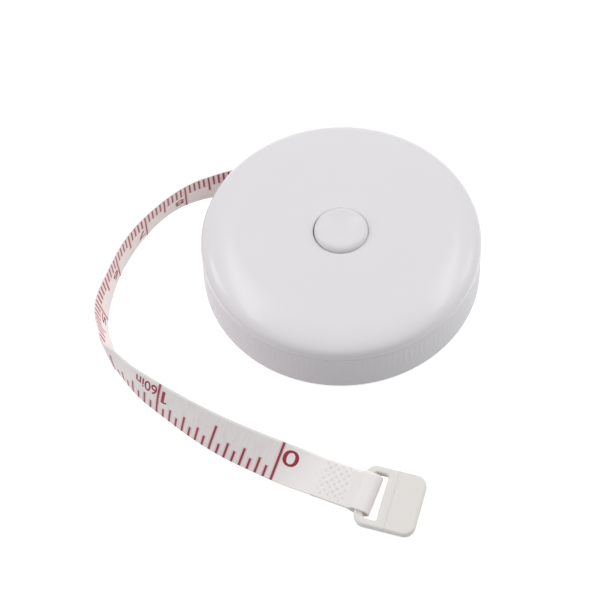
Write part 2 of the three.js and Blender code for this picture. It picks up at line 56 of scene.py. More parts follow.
def makeCamera(view):
    # right, up and back of a camera that looks along +Y and down, then rolled about its own line of sight
    rise, roll = math.radians(view["elevation"]), math.radians(view["roll"])
    back = np.array([0, -math.cos(rise), math.sin(rise)])
    flat, tall = np.array([1.0, 0, 0]), np.array([0, math.sin(rise), math.cos(rise)])
    right = math.cos(roll) * flat + math.sin(roll) * tall
    up = -math.sin(roll) * flat + math.cos(roll) * tall
    place = mm * (view["distance"] * back - view["aside"] * right - view["above"] * up)
    camera = bpy.data.objects.new("camera", bpy.data.cameras.new("camera"))
    camera.data.lens = view["lens"]
    camera.data.sensor_width = view["sensor"]
    camera.data.clip_start = view["near"]
    turned = Matrix(np.column_stack([right, up, back]).tolist()).to_4x4()
    turned.translation = place
    camera.matrix_world = turned
    bpy.context.scene.collection.objects.link(camera)
    bpy.context.scene.camera = camera


makeCamera(cameraView)

# the tape, in millimetres and degrees: along is counted from its printed zero line
tape = {
    "width": 7.5, "thickness": 0.3,
    "leadOffset": 21.5, "leadHeading": 190, "leadLength": 15.06, "leadMiddle": 6.5,
    "mouthReach": 1.2, "knotBack": 6,
    "hemHeading": -25.1, "hemLean": 79.4, "hemOffset": 0.35, "bar": (1.52, -49.66, 2.25),
    "hemLength": 9.2, "weldLength": 6.9, "weldGap": 0.03, "hemKnots": (0, 2.5, 5),
    "loopHalf": 1.3, "loopStraight": 0.7, "loopSlack": 0.7,
    "zeroToBar": 16.97, "step": 0.3, "hemStep": 0.13, "acrossSteps": 56, "edgeSteps": 4,
    "leadSteps": 20, "curveSteps": 1500, "loopSteps": 40, "slantRounds": 8,
    "dotDepth": 0.09, "dotSteps": ((0.643, 0.787), (0.79, -0.647)), "dotStart": (-4.27, -0.39),
    "dotSize": 0.27, "dotZone": (-8.7, -3.0), "dotZoneEase": 0.5, "dotMargin": 0.25, "dotMarginEase": 0.3,
}
# its route from the mouth: x, y and z of the middle line, the lean towards the left of its way out, and how
# far the straight lines across it slant back along it, as a share of its width
routePoints = [
    (-28.0, 16.25, 6.25, 8, 0.7), (-36.2, 10.42, 5.42, 7, 0.5), (-41.1, 4.3, 4.6, 1, 0.05),
    (-44.0, -2.0, 4.1, -3, -0.25), (-45.6, -7.6, 3.8, -12, -0.25), (-45.4, -12.6, 4.0, -16, -0.1),
    (-44.8, -15.5, 4.2, -16, 0.05), (-44.9, -17.2, 4.2, -11, 0.1), (-43.3, -20.0, 4.4, -2, 0.3),
    (-39.9, -24.3, 4.7, 7, 0.75), (-35.3, -28.8, 4.9, 16, 1.0), (-30.1, -33.1, 4.9, 26, 1.0),
    (-24.7, -36.8, 4.6, 37, 0.8), (-18.9, -39.9, 3.9, 45, 0.4), (-13.2, -42.5, 3.0, 56, -0.05),
]


def unit(vectors):
    # each vector at length 1
    return vectors / np.linalg.norm(vectors, axis=-1, keepdims=True)


def wayAt(heading):
    # the level way at a heading, counted in degrees from +X towards +Y
    return np.array([math.cos(math.radians(heading)), math.sin(math.radians(heading)), 0.0])


def acrossOf(along, lean):
    # the tape's width direction: upright turned about the way along by the lean, towards the left
    left = unit(np.cross([0.0, 0.0, 1.0], along))
    upward = unit(np.cross(along, left))
    lean = np.radians(lean)[..., None]
    return np.cos(lean) * upward + np.sin(lean) * left


def smoothThrough(places, knots, at):
    # natural cubic spline: the second slopes of each column solve the usual three-term equations
    gap = np.diff(places)
    size = len(places)
    system, wanted = np.eye(size), np.zeros((size, knots.shape[1]))
    inner = np.arange(1, size - 1)
    system[inner, inner - 1] = gap[:-1]
    system[inner, inner] = 2 * (gap[:-1] + gap[1:])
    system[inner, inner + 1] = gap[1:]
    slope = np.diff(knots, axis=0) / gap[:, None]
    wanted[1:-1] = 6 * np.diff(slope, axis=0)
    bend = np.linalg.solve(system, wanted)
    cell = np.clip(np.searchsorted(places, at) - 1, 0, size - 2)
    width = gap[cell][:, None]
    before, after = (at - places[cell])[:, None], (places[cell + 1] - at)[:, None]
    curved = (bend[cell] * after**3 + bend[cell + 1] * before**3) / (6 * width)
    straight = (knots[cell] / width - bend[cell] * width / 6) * after
    return curved + straight + (knots[cell + 1] / width - bend[cell + 1] * width / 6) * before


def evenly(points, others, step):
    # the same line at even steps of its own length
    run = np.concatenate([[0], np.cumsum(np.linalg.norm(np.diff(points, axis=0), axis=1))])
    at = np.linspace(0, run[-1], max(2, round(run[-1] / step) + 1))
    placed = lambda values: np.column_stack([np.interp(at, run, column) for column in values.T])
    return placed(points), placed(others)


def hemPlane(t):
    # the plane that stands across the sewn-back end, and its width direction
    along = wayAt(t["hemHeading"])
    across = acrossOf(along, np.array(t["hemLean"]))
    return np.array(t["bar"]) + t["hemOffset"] * across, along, across, np.cross(along, across)


def hemLine(t):
    # way and rise in the hem's plane: weld, opening loop, round the bar, and the same way back
    weldRise = (t["thickness"] + t["weldGap"]) / 2
    weldStart = t["weldLength"] - t["hemLength"]
    share = np.linspace(0, 1, t["loopSteps"])
    opening = np.column_stack([
        weldStart + (-t["loopStraight"] - weldStart) * share,
        weldRise + (t["loopHalf"] - weldRise) * (1 - np.cos(share * np.pi)) / 2,
    ])
    turn = np.linspace(np.pi / 2, -np.pi / 2, t["loopSteps"])
    bend = t["loopHalf"] * np.column_stack([np.cos(turn), np.sin(turn)]) + [t["loopSlack"], 0]
    upper = np.vstack([[[-t["hemLength"], weldRise]], opening])
    return np.vstack([upper, bend, (upper * [1, -1])[::-1]])


def tapeLine(t):
    # middle line, cross-line, slant and distance from the zero line at each station, from the reel to the
    # hem's end: a straight lead, a spline through the route, and the hem's own outline
    lead = wayAt(t["leadHeading"])
    foot = np.array([-lead[1], lead[0], 0]) * -t["leadOffset"] + [0, 0, t["leadMiddle"]]
    bar, along, across, out = hemPlane(t)
    hem = hemLine(t)
    weldRise = hem[0, 1]
    onHem = lambda way: bar + way * along + weldRise * out
    route = np.array(routePoints)
    ends = [foot + lead * (t["leadLength"] + past) for past in (-t["knotBack"], 0, t["mouthReach"])]
    knots = np.vstack([
        [[*end, 0, 0] for end in ends], route,
        [[*onHem(past - t["hemLength"]), t["hemLean"], 0] for past in t["hemKnots"]],
    ])
    places = np.concatenate([[0], np.cumsum(np.linalg.norm(np.diff(knots[:, :3], axis=0), axis=1))])
    fine = np.linspace(places[0], places[-len(t["hemKnots"])], t["curveSteps"])
    curve = smoothThrough(places, knots, fine)
    leadRun = foot + np.linspace(0, 1, t["leadSteps"])[:-1, None] * (curve[0, :3] - foot)
    points = np.vstack([leadRun, curve[:, :3]])
    turns = np.vstack([np.zeros((len(leadRun), 2)), curve[:, 3:]])
    points, turns = evenly(points, turns, t["step"])
    ways = unit(np.gradient(points, axis=0))
    hemPoints = bar + hem[:, :1] * along + hem[:, 1:] * out
    hemPoints, _ = evenly(hemPoints, hem, t["hemStep"])
    points = np.vstack([points, hemPoints[1:]])
    slanted = acrossOf(ways, turns[:, 0]) - turns[:, 1:] * ways
    widths = np.vstack([slanted, np.tile(across, (len(hemPoints) - 1, 1))])
    slants = np.concatenate([turns[:, 1], np.zeros(len(hemPoints) - 1)])
    run = np.concatenate([[0], np.cumsum(np.linalg.norm(np.diff(points, axis=0), axis=1))])
    hemStart = run[len(ways) - 1]
    return points, widths, slants, hemStart + t["hemLength"] - t["zeroToBar"] - run


def tapeSection(t):
    # place across, place through and side of each point round the section: two flat faces and two round edges
    half, thick = t["width"] / 2, t["thickness"] / 2
    flat = np.linspace(-1, 1, t["acrossSteps"] + 1)
    bend = np.linspace(0, np.pi, t["edgeSteps"] + 2)[1:-1]
    inch = np.column_stack([flat * (half - thick), np.full(len(flat), thick), np.ones(len(flat))])
    far = np.column_stack([half - thick + thick * np.sin(bend), thick * np.cos(bend), np.zeros(len(bend))])
    centi = inch[::-1] * [1, -1, -1]
    near = far[::-1] * [-1, 1, 1]
    return np.vstack([inch, far, centi, near])[::-1]


def dotLift(t, way, across):
    # how deep the weld's dots press in at a place: smooth pits on a slanted lattice, given by its two steps
    first, second = (np.array(step) for step in t["dotSteps"])
    toSteps = np.linalg.inv(np.column_stack([first, second]))
    u, v = way - t["dotStart"][0], across - t["dotStart"][1]
    along, beside = toSteps[0, 0] * u + toSteps[0, 1] * v, toSteps[1, 0] * u + toSteps[1, 1] * v
    along, beside = along - np.round(along), beside - np.round(beside)
    offWay, offAcross = along * first[0] + beside * second[0], along * first[1] + beside * second[1]
    far = (offWay**2 + offAcross**2) / t["dotSize"] ** 2
    depth = np.exp(-(far**2))
    (start, end), ease = t["dotZone"], t["dotZoneEase"]
    inZone = np.clip((way - start) / ease, 0, 1) * np.clip((end - way) / ease, 0, 1)
    margin = np.clip((t["width"] / 2 - t["dotMargin"] - np.abs(across)) / t["dotMarginEase"], 0, 1)
    return t["dotDepth"] * depth * inZone * margin


def gridMesh(name, grid):
    # one skin over a grid of points: rows run along, columns run round, and one face closes each end
    rows, columns = grid.shape[:2]
    index = np.arange(rows * columns).reshape(rows, columns)
    beside = np.roll(index, -1, axis=1)
    quads = np.stack([index[:-1], beside[:-1], beside[1:], index[1:]], axis=-1)
    faces = quads.reshape(-1, 4).tolist() + [index[0, ::-1].tolist(), index[-1].tolist()]
    mesh = bpy.data.meshes.new(name)
    mesh.from_pydata((grid.reshape(-1, 3) * mm).tolist(), [], faces)
    mesh.shade_smooth()
    piece = bpy.data.objects.new(name, mesh)
    bpy.context.scene.collection.objects.link(piece)
    return piece


def setVector(mesh, name, values):
    # keeps a vector at each vertex, for a material to read
    layer = mesh.attributes.new(name, "FLOAT_VECTOR", "POINT")
    layer.data.foreach_set("vector", np.asarray(values, np.float32).ravel())


linePoints, lineWidths, lineSlants, lineAlong = tapeLine(tape)
lineWays = unit(np.gradient(linePoints, axis=0))
lineOuts = unit(np.cross(lineWays, lineWidths))


def makeTape(t):
    # the section carried along the line, with the weld's dots pressed into its upper face
    across, through, side = tapeSection(t).T
    along = lineAlong[:, None] + across[None] * lineSlants[:, None]
    pit = dotLift(t, -(along + t["zeroToBar"]), across[None]) * (side == 1)[None]
    lift = through[None] - pit
    grid = linePoints[:, None] + across[None, :, None] * lineWidths[:, None]
    grid = grid + lift[..., None] * lineOuts[:, None]
    piece = gridMesh("printed_tape", grid)
    place = np.broadcast_arrays(along, across[None] + t["width"] / 2, side[None])
    setVector(piece.data, "tapePlace", np.stack(place, axis=-1))
    setVector(piece.data, "tapePit", np.stack([pit / t["dotDepth"]] * 3, axis=-1))
    return piece


tapePiece = makeTape(tape)
firstAlong, lastAlong = lineAlong[[0, -1]].round(1)
print("tape made:", len(lineAlong), "stations, from", firstAlong, "to", lastAlong, "mm")


def placesOf(mesh):
    # the places of a mesh's vertices, one row for each
    places = np.empty(len(mesh.vertices) * 3)
    mesh.vertices.foreach_get("co", places)
    return places.reshape(-1, 3)


def prism(outline, bottom, top):
    # an upright block: the outline at both heights, a face between each two neighbours, and both ends
    count = len(outline)
    points = np.vstack([np.column_stack([outline, np.full(count, height)]) for height in (bottom, top)])
    index = np.arange(count)
    after = np.roll(index, -1)
    sides = np.column_stack([index, after, count + after, count + index]).tolist()
    return points, sides + [index[::-1].tolist(), (count + index).tolist()]


# printed numbers: text, width, height, distance of its middle from the zero line and from the lower edge,
# side, and how much bolder than the plain letter, as a share of its size; a 1 is drawn, in shares of its
# width and height
numbers = {
    "lift": 0.012, "depth": 0.02, "cut": 0.25, "curveSteps": 6,
    "one": [(0.47, 0), (1, 0), (1, 1), (0.5, 1), (0, 0.9), (0, 0.78), (0.47, 0.85)],
    "marks": [
        ("0", 3.0, 3.0, -2.1, 5.0, 1, 0.006), ("1", 1.3, 2.75, 24.0, 4.9, 1, 0),
        ("2", 2.1, 2.75, 49.0, 4.9, 1, 0.02), ("3", 2.1, 2.75, 74.4, 4.9, 1, 0.02),
        ("60in", 5.0, 2.4, 28.3, 5.3, 1, 0.012), ("60in", 5.0, 2.4, 53.7, 5.3, 1, 0.012),
    ] + [(str(k), 1.1 if k == 1 else 2.0, 2.05, 10 * k - 1.45, 2.65, -1, 0.01) for k in range(1, 10)],
}


def cutText(text, bold, steps):
    # flat text as a thin mesh, 1 wide, 1 high and centred, cut both ways so that it can bend
    if text == "1":
        mesh = bpy.data.meshes.new("mark")
        points, faces = prism(numbers["one"], -0.5, 0.5)
        mesh.from_pydata(points.tolist(), [], faces)
    else:
        curve = bpy.data.curves.new("mark", "FONT")
        curve.body, curve.extrude, curve.offset, curve.resolution_u = text, 0.5, bold, numbers["curveSteps"]
        written = bpy.data.objects.new("mark", curve)
        bpy.context.scene.collection.objects.link(written)
        bpy.context.view_layer.update()
        mesh = bpy.data.meshes.new_from_object(written)
        bpy.data.objects.remove(written)
    shape = bmesh.new()
    shape.from_mesh(mesh)
    places = np.array([v.co for v in shape.verts])
    low, high = places.min(axis=0), places.max(axis=0)
    for axis, step in enumerate(steps):
        way = [float(axis == k) for k in range(3)]
        for share in np.arange(step, 1, step):
            everything = shape.verts[:] + shape.edges[:] + shape.faces[:]
            place = [way[k] * (low[k] + share * (high[k] - low[k])) for k in range(3)]
            bmesh.ops.bisect_plane(shape, geom=everything, plane_co=place, plane_no=way)
    bmesh.ops.triangulate(shape, faces=shape.faces[:])
    shape.to_mesh(mesh)
    shape.free()
    middle, reach = (low + high) / 2, high - low
    places = (placesOf(mesh) - [middle[0], middle[1], 0]) / [reach[0], reach[1], 1]
    faces = [list(face.vertices) for face in mesh.polygons]
    bpy.data.meshes.remove(mesh)
    return places, faces


def onTape(along, across, rise):
    # places on the tape by distance from its zero line, height over its lower edge and height over its
    # middle; a slanted cross-line has one distance from zero, so its station is found in a few rounds
    order = np.argsort(lineAlong)
    known = lineAlong[order]
    place = across - tape["width"] / 2
    station = along
    for _ in range(tape["slantRounds"]):
        station = along - place * np.interp(station, known, lineSlants[order])
    point, width, out = (
        np.column_stack([np.interp(station, known, values[order, axis]) for axis in range(3)])
        for values in (linePoints, lineWidths, lineOuts)
    )
    return point + place[:, None] * width + rise[:, None] * out


def makeNumbers(n):
    # each text is laid on its face with its head towards the tape's lower edge
    points, faces = [], []
    for text, width, height, along, across, side, bold in n["marks"]:
        places, own = cutText(text, bold, (n["cut"] / width, n["cut"] / height))
        x, y, z = places.T
        rise = side * (tape["thickness"] / 2 + n["lift"] + n["depth"] * z)
        placed = onTape(along + side * x * width, across - y * height, rise)
        start = sum(len(group) for group in points)
        points.append(placed)
        faces += [[start + corner for corner in face] for face in own]
    mesh = bpy.data.meshes.new("printed_numbers")
    mesh.from_pydata((np.vstack(points) * mm).tolist(), [], faces)
    mesh.validate()
    piece = bpy.data.objects.new("printed_numbers", mesh)
    bpy.context.scene.collection.objects.link(piece)
    return piece


numberPiece = makeNumbers(numbers)
print("numbers made:", len(numberPiece.data.polygons), "faces")

# the mouldings, in millimetres: profiles are radius and height, turned about the upright axis
cover = {
    "radius": 26.35, "foot": 10.47, "edgeFoot": 10.75, "edgeReach": 9.0, "edgeRise": 3.3, "fullness": 2.75,
    "top": 14.2, "sag": 0.15, "hole": 5.15, "holeEdge": 0.15, "collarFoot": 10.95, "collar": 6.25,
    "plate": 1.3, "wall": 1.5, "skirt": 0.6, "ledge": 11.45, "soft": 0.03, "segments": 540,
    "edgeSteps": 60, "plateSteps": 30, "innerSteps": 16,
}
lowerCase = {
    "radius": 26.35, "base": 0.25, "floorTop": 1.4, "edgeReach": 3.2, "edgeRise": 1.9, "wall": 1.5,
    "band": (5.0, 10.2), "ribs": 146, "ribDepth": 0.055, "ribPower": 1.5, "bandEase": 0.5,
    "top": 10.4, "lip": 25.35, "lipTop": 11.3, "snap": 0.15, "snapHeight": 0.3,
    "ridge": (6.0, 6.8, 1.7), "post": 3.7, "postTop": 7.85, "soft": 0.03, "segments": 584,
    "feet": 4, "footCircle": 17.0, "footRadius": 1.2, "mouthWidth": 2.2, "mouthSill": 2.45,
    "bore": 2.05, "keyReach": 2.42, "keyWidth": 1.24, "slit": 0.6, "slitAngle": 60, "overrun": 1,
    "edgeSteps": 24, "innerSteps": 12, "footSteps": 48, "wallSteps": 24, "wallMargins": (0.4, 0.12),
}
button = {
    "radius": 5.06, "lean": (0.06, -0.06), "leanRise": 0.4, "top": 15.2, "dish": 0.45, "round": 1.1,
    "stop": 5.8, "stopTop": 10.7, "stopFoot": 10.0, "hub": 2.95, "hubFoot": 9.25,
    "stem": 1.75, "stemFoot": 5.95, "keyReach": 2.2, "keyWidth": 0.8,
    "soft": 0.08, "segments": 288, "roundSteps": 20, "dishSteps": 20,
}
tab = {
    "heading": -19.1, "lean": 79.4, "bar": (1.52, -49.66, 2.25), "left": -0.9, "length": 11.4, "width": 11.6,
    "thickness": 1.85, "corner": 2.1, "round": 0.5, "slotLeft": 0.9, "slotWidth": 2.5, "slotLength": 8.75,
    "slotCorner": 0.5, "cornerSteps": 14, "sideSteps": 44, "roundSteps": 7, "flatSteps": 26,
}
stemKeys = {"count": 3, "steps": 16}  # of the button's stem and of the bore that it slides in
# how corners of a profile are softened: from which turn in degrees, the curve's points, the most that it
# takes of a side, and how far beyond it the guard points stand
softening = {"turn": 20, "points": 5, "most": 0.4, "guard": 1.3}
sharpTurn = math.radians(40)  # an edge that turns more than this is kept sharp
merging = {"doubles": 1e-7, "slivers": 1e-8}  # in metres: points this near are one, and shorter edges go


def bow(middle, reach, start, end, steps, fullness=2.0):
    # part of an ellipse between two angles: reach is (outward, upward), and a fullness above 2 keeps it flat
    # for longer
    angle = np.radians(np.linspace(start, end, steps + 1))
    parts = np.column_stack([np.cos(angle), np.sin(angle)])
    return np.array(middle) + np.array(reach) * np.sign(parts) * np.abs(parts) ** (2 / fullness)


def softened(points, radius, closed=True):
    # each sharper corner becomes a short curve, with a guard point on either side that keeps the flats flat
    points = np.array(points, dtype=float)
    made = []
    for i, here in enumerate(points):
        if not closed and i in (0, len(points) - 1):
            made.append([here])
            continue
        before, after = points[i - 1] - here, points[(i + 1) % len(points)] - here
        reach = min([radius] + [softening["most"] * np.linalg.norm(side) for side in (before, after)])
        before, after = unit(before), unit(after)
        if -before @ after > math.cos(math.radians(softening["turn"])):
            made.append([here])
            continue
        first, last = here + reach * before, here + reach * after
        share = np.linspace(0, 1, softening["points"])[:, None]
        curve = (1 - share) ** 2 * first + 2 * share * (1 - share) * here + share**2 * last
        guards = [here + softening["guard"] * reach * way for way in (before, after)]
        made.append(np.vstack([guards[0], curve, guards[1]]))
    return np.vstack(made)


def turnedMesh(profile, segments, depthOf=None):
    # the profile carried round the upright axis; depthOf takes angle, radius and height, and says how far the
    # skin steps in there
    angle = np.arange(segments) / segments * 2 * np.pi
    radius, height = (np.broadcast_to(part, (segments, len(profile))) for part in profile.T)
    if depthOf is not None:
        radius = radius - depthOf(angle[:, None], radius, height)
    points = np.stack([radius * np.cos(angle)[:, None], radius * np.sin(angle)[:, None], height], axis=-1)
    index = np.arange(points[..., 0].size).reshape(points.shape[:2])
    turn = np.roll(index, -1, axis=0)
    beside = lambda grid: np.roll(grid, -1, axis=1)
    quads = np.stack([index, turn, beside(turn), beside(index)], axis=-1).reshape(-1, 4)
    return points.reshape(-1, 3), quads.tolist()


def addPiece(name, points, faces):
    # a piece from points in millimetres, with doubled points on the axis merged and true edges kept sharp
    mesh = bpy.data.meshes.new(name)
    mesh.from_pydata((np.asarray(points) * mm).tolist(), [], faces)
    shape = bmesh.new()
    shape.from_mesh(mesh)
    bmesh.ops.remove_doubles(shape, verts=shape.verts[:], dist=merging["doubles"])
    bmesh.ops.dissolve_degenerate(shape, edges=shape.edges[:], dist=merging["slivers"])
    bmesh.ops.recalc_face_normals(shape, faces=shape.faces[:])
    shape.to_mesh(mesh)
    shape.free()
    mesh.shade_smooth()
    mesh.set_sharp_from_angle(angle=sharpTurn)
    piece = bpy.data.objects.new(name, mesh)
    bpy.context.scene.collection.objects.link(piece)
    return piece


def combine(piece, tools, operation):
    # cuts or joins solid tools, one after the other, and removes them
    for tool in tools:
        step = piece.modifiers.new("step", "BOOLEAN")
        step.operation, step.solver, step.object = operation, "EXACT", tool
        bpy.context.view_layer.update()
        made = bpy.data.meshes.new_from_object(piece.evaluated_get(bpy.context.evaluated_depsgraph_get()))
        piece.modifiers.clear()
        made.name = piece.name
        piece.data = made
        bpy.data.objects.remove(tool)
    piece.data.shade_smooth()
    piece.data.set_sharp_from_angle(angle=sharpTurn)


def keyedOutline(radius, reach, width):
    # a round with keys that stand out of it
    points = []
    root, tip = (math.degrees(math.asin(width / 2 / far)) for far in (radius, reach))
    between = 360 / stemKeys["count"]
    for k in range(stemKeys["count"]):
        key = k * between
        points.append(bow((0, 0), (reach, reach), key - tip, key + tip, 1))
        points.append(bow((0, 0), (radius, radius), key + root, key + between - root, stemKeys["steps"]))
    return np.vstack(points)


def makeCover(c):
    # skirt, rounded edge, gently domed plate down to the button's hole, collar, and the same way back inside
    middle = c["radius"] - c["edgeReach"]
    inner = (c["edgeReach"] - c["wall"], c["edgeRise"] + c["sag"] - c["plate"])
    ledgeAngle = math.degrees(math.asin(((c["ledge"] - c["edgeFoot"]) / inner[1]) ** (c["fullness"] / 2)))
    share = np.linspace(1, 0, c["plateSteps"])[1:]
    hole = c["hole"] + c["holeEdge"]
    plate = np.column_stack([hole + (middle - hole) * share, c["top"] - c["sag"] * share**2])
    outer = (c["edgeReach"], c["edgeRise"])
    profile = np.vstack([
        [[c["radius"] - c["skirt"], c["foot"]], [c["radius"], c["foot"]]],
        bow((middle, c["edgeFoot"]), outer, 0, 90, c["edgeSteps"], c["fullness"]), plate,
        [[c["hole"], c["top"] - c["holeEdge"]], [c["hole"], c["collarFoot"]], [c["collar"], c["collarFoot"]]],
        [[c["collar"], c["top"] - c["plate"]]],
        bow((middle, c["edgeFoot"]), inner, 90, ledgeAngle, c["innerSteps"], c["fullness"]),
        [[c["radius"] - c["skirt"], c["ledge"]]],
    ])
    return addPiece("moulded_cover", *turnedMesh(softened(profile, c["soft"]), c["segments"]))


def makeLowerCase(c):
    # floor, ribbed wall, lip and post turned in one, feet joined on, and the mouth, bore and slit cut out
    middle = (c["radius"] - c["edgeReach"], c["base"] + c["edgeRise"])
    inside = (c["edgeReach"] - c["wall"], c["base"] + c["edgeRise"] - c["floorTop"])
    low, high = c["band"]
    below, above = c["wallMargins"]
    heights = np.linspace(low - below, c["top"] - above, c["wallSteps"])
    wall = np.column_stack([np.full(len(heights), c["radius"]), heights])
    ridgeIn, ridgeOut, ridgeTop = c["ridge"]
    profile = np.vstack([
        [[0, c["base"]]], bow(middle, (c["edgeReach"], c["edgeRise"]), -90, 0, c["edgeSteps"]), wall,
        [[c["radius"], c["top"]], [c["lip"], c["top"]], [c["lip"], c["lipTop"] - c["snapHeight"]]],
        [[c["lip"] + c["snap"], c["lipTop"] - c["snapHeight"] / 2], [c["lip"], c["lipTop"]]],
        [[c["radius"] - c["wall"], c["lipTop"]]], bow(middle, inside, 0, -90, c["innerSteps"]),
        [[ridgeOut, c["floorTop"]], [ridgeOut, ridgeTop], [ridgeIn, ridgeTop], [ridgeIn, c["floorTop"]]],
        [[c["post"], c["floorTop"]], [c["post"], c["postTop"]], [0, c["postTop"]]],
    ])

    def ribs(angle, radius, height):
        # grooves between broad round ribs on the outer wall, fading out at both ends of the band
        wave = (0.5 - 0.5 * np.cos(c["ribs"] * angle)) ** c["ribPower"]
        ease = np.clip((height - low) / c["bandEase"], 0, 1) * np.clip((high - height) / c["bandEase"], 0, 1)
        outerWall = radius > (c["radius"] + c["lip"]) / 2
        return c["ribDepth"] * wave * ease * ease * (3 - 2 * ease) * outerWall

    profile = softened(profile, c["soft"], closed=False)
    piece = addPiece("ribbed_case", *turnedMesh(profile, c["segments"], ribs))
    feet = []
    for k in range(c["feet"]):
        outline = bow((0, 0), (c["footRadius"],) * 2, 0, 360, c["footSteps"])[:-1]
        angle = (k + 0.5) / c["feet"] * 2 * math.pi
        place = c["footCircle"] * np.array([math.cos(angle), math.sin(angle)])
        feet.append(addPiece("foot", *prism(outline + place, 0, (c["base"] + c["floorTop"]) / 2)))
    combine(piece, feet, "UNION")
    lead = wayAt(tape["leadHeading"])
    side = np.array([-lead[1], lead[0], 0])
    corners = [(0, -1), (c["radius"], -1), (c["radius"], 1), (0, 1)]
    cornerAt = lambda u, v: lead * u - side * (tape["leadOffset"] + v * c["mouthWidth"] / 2)
    mouth = np.array([cornerAt(u, v)[:2] for u, v in corners])
    slitWay = wayAt(c["slitAngle"])[:2]
    slitSide = np.array([-slitWay[1], slitWay[0]]) * c["slit"] / 2
    slitEnd = slitWay * (c["post"] + c["overrun"])
    slit = np.array([-slitSide, slitEnd - slitSide, slitEnd + slitSide, slitSide])
    keyed = keyedOutline(c["bore"], c["keyReach"], c["keyWidth"])
    tools = [
        prism(mouth, c["mouthSill"], c["lipTop"] + c["overrun"]),
        prism(keyed, c["floorTop"], c["postTop"] + c["overrun"]),
        prism(slit, c["mouthSill"], c["postTop"] + c["overrun"]),
    ]
    combine(piece, [addPiece("tool", *tool) for tool in tools], "DIFFERENCE")
    return piece


def makeButton(c):
    # dished cap, stop flange and hub turned in one, with the keyed stem joined on
    dishRadius = c["radius"] - c["round"]
    share = np.linspace(1, 0, c["dishSteps"])[1:]
    dish = np.column_stack([dishRadius * share, c["top"] - c["dish"] * (1 - share**2)])
    profile = np.vstack([
        [[0, c["hubFoot"]], [c["hub"], c["hubFoot"]], [c["hub"], c["stopFoot"]], [c["stop"], c["stopFoot"]]],
        [[c["stop"], c["stopTop"]], [c["radius"], c["stopTop"]]],
        bow((dishRadius, c["top"] - c["round"]), (c["round"],) * 2, 0, 90, c["roundSteps"]), dish,
    ])
    points, faces = turnedMesh(softened(profile, c["soft"], closed=False), c["segments"])
    # the cap stands a hair nearer the front and right of its hole
    points[:, :2] += np.clip((points[:, 2:] - c["stopTop"]) / c["leanRise"], 0, 1) * c["lean"]
    piece = addPiece("push_button", points, faces)
    outline = keyedOutline(c["stem"], c["keyReach"], c["keyWidth"])
    combine(piece, [addPiece("stem", *prism(outline, c["stemFoot"], c["stopFoot"]))], "UNION")
    return piece


def ringOutline(left, right, half, corner, t):
    # a rectangle with round corners, with as many points on each side and corner as any other
    middles = [(right - corner, half - corner), (left + corner, half - corner)]
    middles += [(left + corner, corner - half), (right - corner, corner - half)]
    rounds = [bow(m, (corner, corner), 90 * k, 90 * k + 90, t["cornerSteps"]) for k, m in enumerate(middles)]
    points, ways = [], []
    for k, turn in enumerate(rounds):
        after = rounds[(k + 1) % 4][0]
        share = np.linspace(0, 1, t["sideSteps"] + 1)[1:-1, None]
        points += [turn, turn[-1] + (after - turn[-1]) * share]
        angle = np.radians(np.linspace(90 * k, 90 * k + 90, t["cornerSteps"] + 1))
        outward = np.column_stack([np.cos(angle), np.sin(angle)])
        ways += [outward, np.tile(outward[-1], (len(share), 1))]
    return np.vstack(points), np.vstack(ways)


def makeTab(t):
    # a rounded section carried round the slot: outer edge, upper face, slot edge, lower face
    outer, outerWay = ringOutline(t["left"], t["left"] + t["length"], t["width"] / 2, t["corner"], t)
    slotRight = t["slotLeft"] + t["slotWidth"]
    inner, innerWay = ringOutline(t["slotLeft"], slotRight, t["slotLength"] / 2, t["slotCorner"], t)
    innerWay = -innerWay
    lift = t["thickness"] / 2 - t["round"]
    quarter = np.radians(np.linspace(0, 90, t["roundSteps"] + 1))
    level = np.full((len(outer), 1), 1.0)
    rows = []
    for edge, way, order in ((outer, outerWay, 1), (inner, innerWay, -1)):
        rim = [
            np.column_stack([
                edge + way * t["round"] * (np.cos(a) - 1), level * (lift + t["round"] * np.sin(a)),
            ]) for a in quarter
        ]
        rows.append(rim[::order])
    share = np.linspace(0, 1, t["flatSteps"] + 1)[1:-1]
    flat = [rows[0][-1] + (rows[1][0] - rows[0][-1]) * part for part in share]
    upper = rows[0] + flat + rows[1]
    lower = [row * [1, 1, -1] for row in upper[::-1]]
    local = np.stack(upper + lower, axis=1)
    along = wayAt(t["heading"])
    across = acrossOf(along, np.array(t["lean"]))
    axes = np.stack([along, across, np.cross(along, across)])
    grid = np.array(t["bar"]) + local @ axes
    index = np.arange(grid[..., 0].size).reshape(grid.shape[:2])
    turn = np.roll(index, -1, axis=0)
    quads = np.stack([index, turn, np.roll(turn, -1, axis=1), np.roll(index, -1, axis=1)], axis=-1)
    mesh = bpy.data.meshes.new("loop_tab")
    mesh.from_pydata((grid.reshape(-1, 3) * mm).tolist(), [], quads.reshape(-1, 4).tolist())
    mesh.shade_smooth()
    setVector(mesh, "tabPlace", local)
    piece = bpy.data.objects.new("loop_tab", mesh)
    bpy.context.scene.collection.objects.link(piece)
    return piece


coverPiece = makeCover(cover)
lowerPiece = makeLowerCase(lowerCase)
buttonPiece = makeButton(button)
tabPiece = makeTab(tab)
standIns = [
    (coverPiece, "case", "upper_cover", "case_plastic"), (lowerPiece, "case", "lower_case", "case_plastic"),
    (buttonPiece, "button", "release_button", "case_plastic"), (tabPiece, "tab", "end_tab", "tab_plastic"),
]
for piece, body, node, slot in standIns:
    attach(piece, body)
    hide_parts(node)
    print(piece.name, "made:", len(piece.data.polygons), "faces")


def copiedPiece(name, node):
    # a CAD node's shape as a piece of its own
    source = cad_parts[node]
    mesh = source.data.copy()
    mesh.transform(source.matrix_world)
    mesh.name = name
    mesh.materials.clear()
    piece = bpy.data.objects.new(name, mesh)
    bpy.context.scene.collection.objects.link(piece)
    return piece


